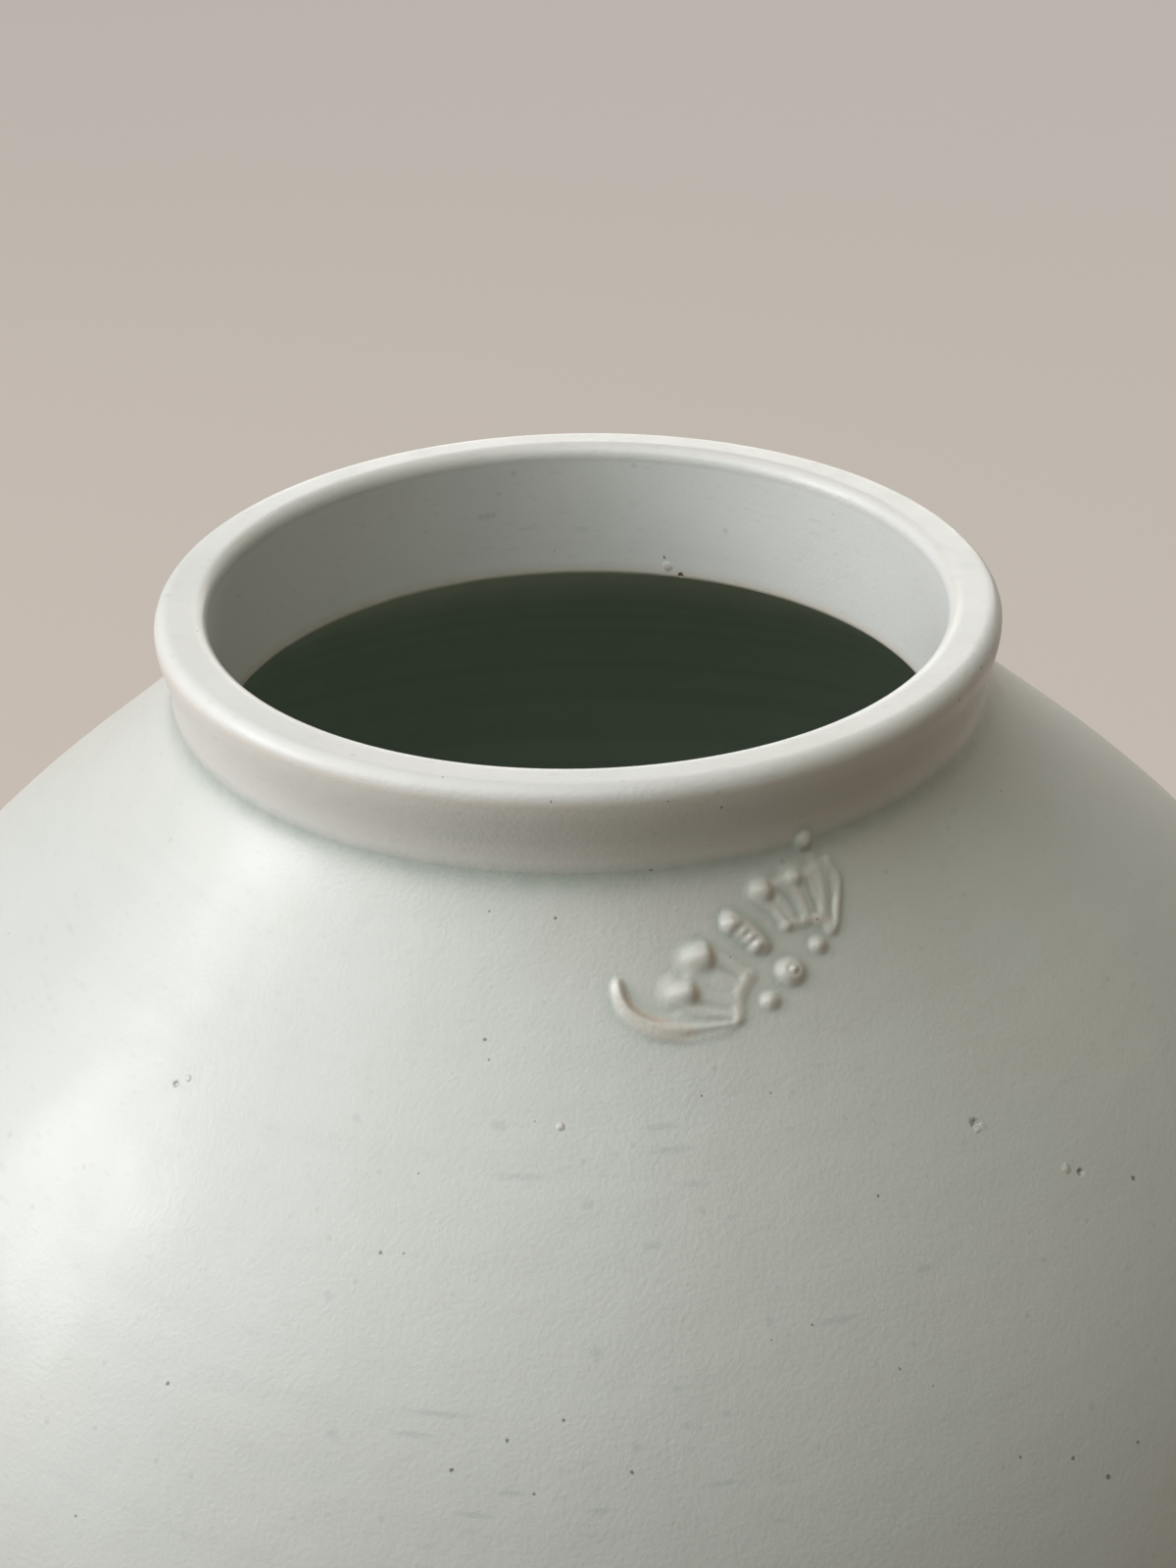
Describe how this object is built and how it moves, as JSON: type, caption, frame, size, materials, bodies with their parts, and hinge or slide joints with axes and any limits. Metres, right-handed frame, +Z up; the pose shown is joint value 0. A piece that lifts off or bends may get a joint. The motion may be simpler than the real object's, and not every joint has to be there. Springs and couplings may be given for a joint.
{
  "type": "moon jar",
  "caption": "Round white glazed porcelain storage jar with a low collar neck, a rounded lip, a foot ring and a bat in low relief on the shoulder.",
  "frame": {"origin": "middle of the foot ring's resting face, on the jar's axis", "axes": "+Z up along the jar's axis, front towards -Y with the bat to the right of it"},
  "size_m": [0.442, 0.442, 0.432],
  "materials": {
    "foot_ring_clay": "matt, bare fired clay",
    "lower_bowl_glaze": "soft gloss glaze",
    "waist_slip_clay": "matt",
    "upper_bowl_glaze": "soft gloss glaze",
    "neck_collar_glaze": "soft gloss glaze",
    "bat_glaze": "soft gloss glaze"
  },
  "bodies": {
    "root": {"foot_ring": "foot_ring_clay", "lower_bowl": "lower_bowl_glaze", "waist_slip": "waist_slip_clay", "upper_bowl": "upper_bowl_glaze", "neck_collar": "neck_collar_glaze", "bat_body": "bat_glaze", "bat_head": "bat_glaze", "left_pearl": "bat_glaze", "right_pearl": "bat_glaze", "bat_left_wing": "bat_glaze", "bat_right_wing": "bat_glaze"}
  },
  "joints": []
}
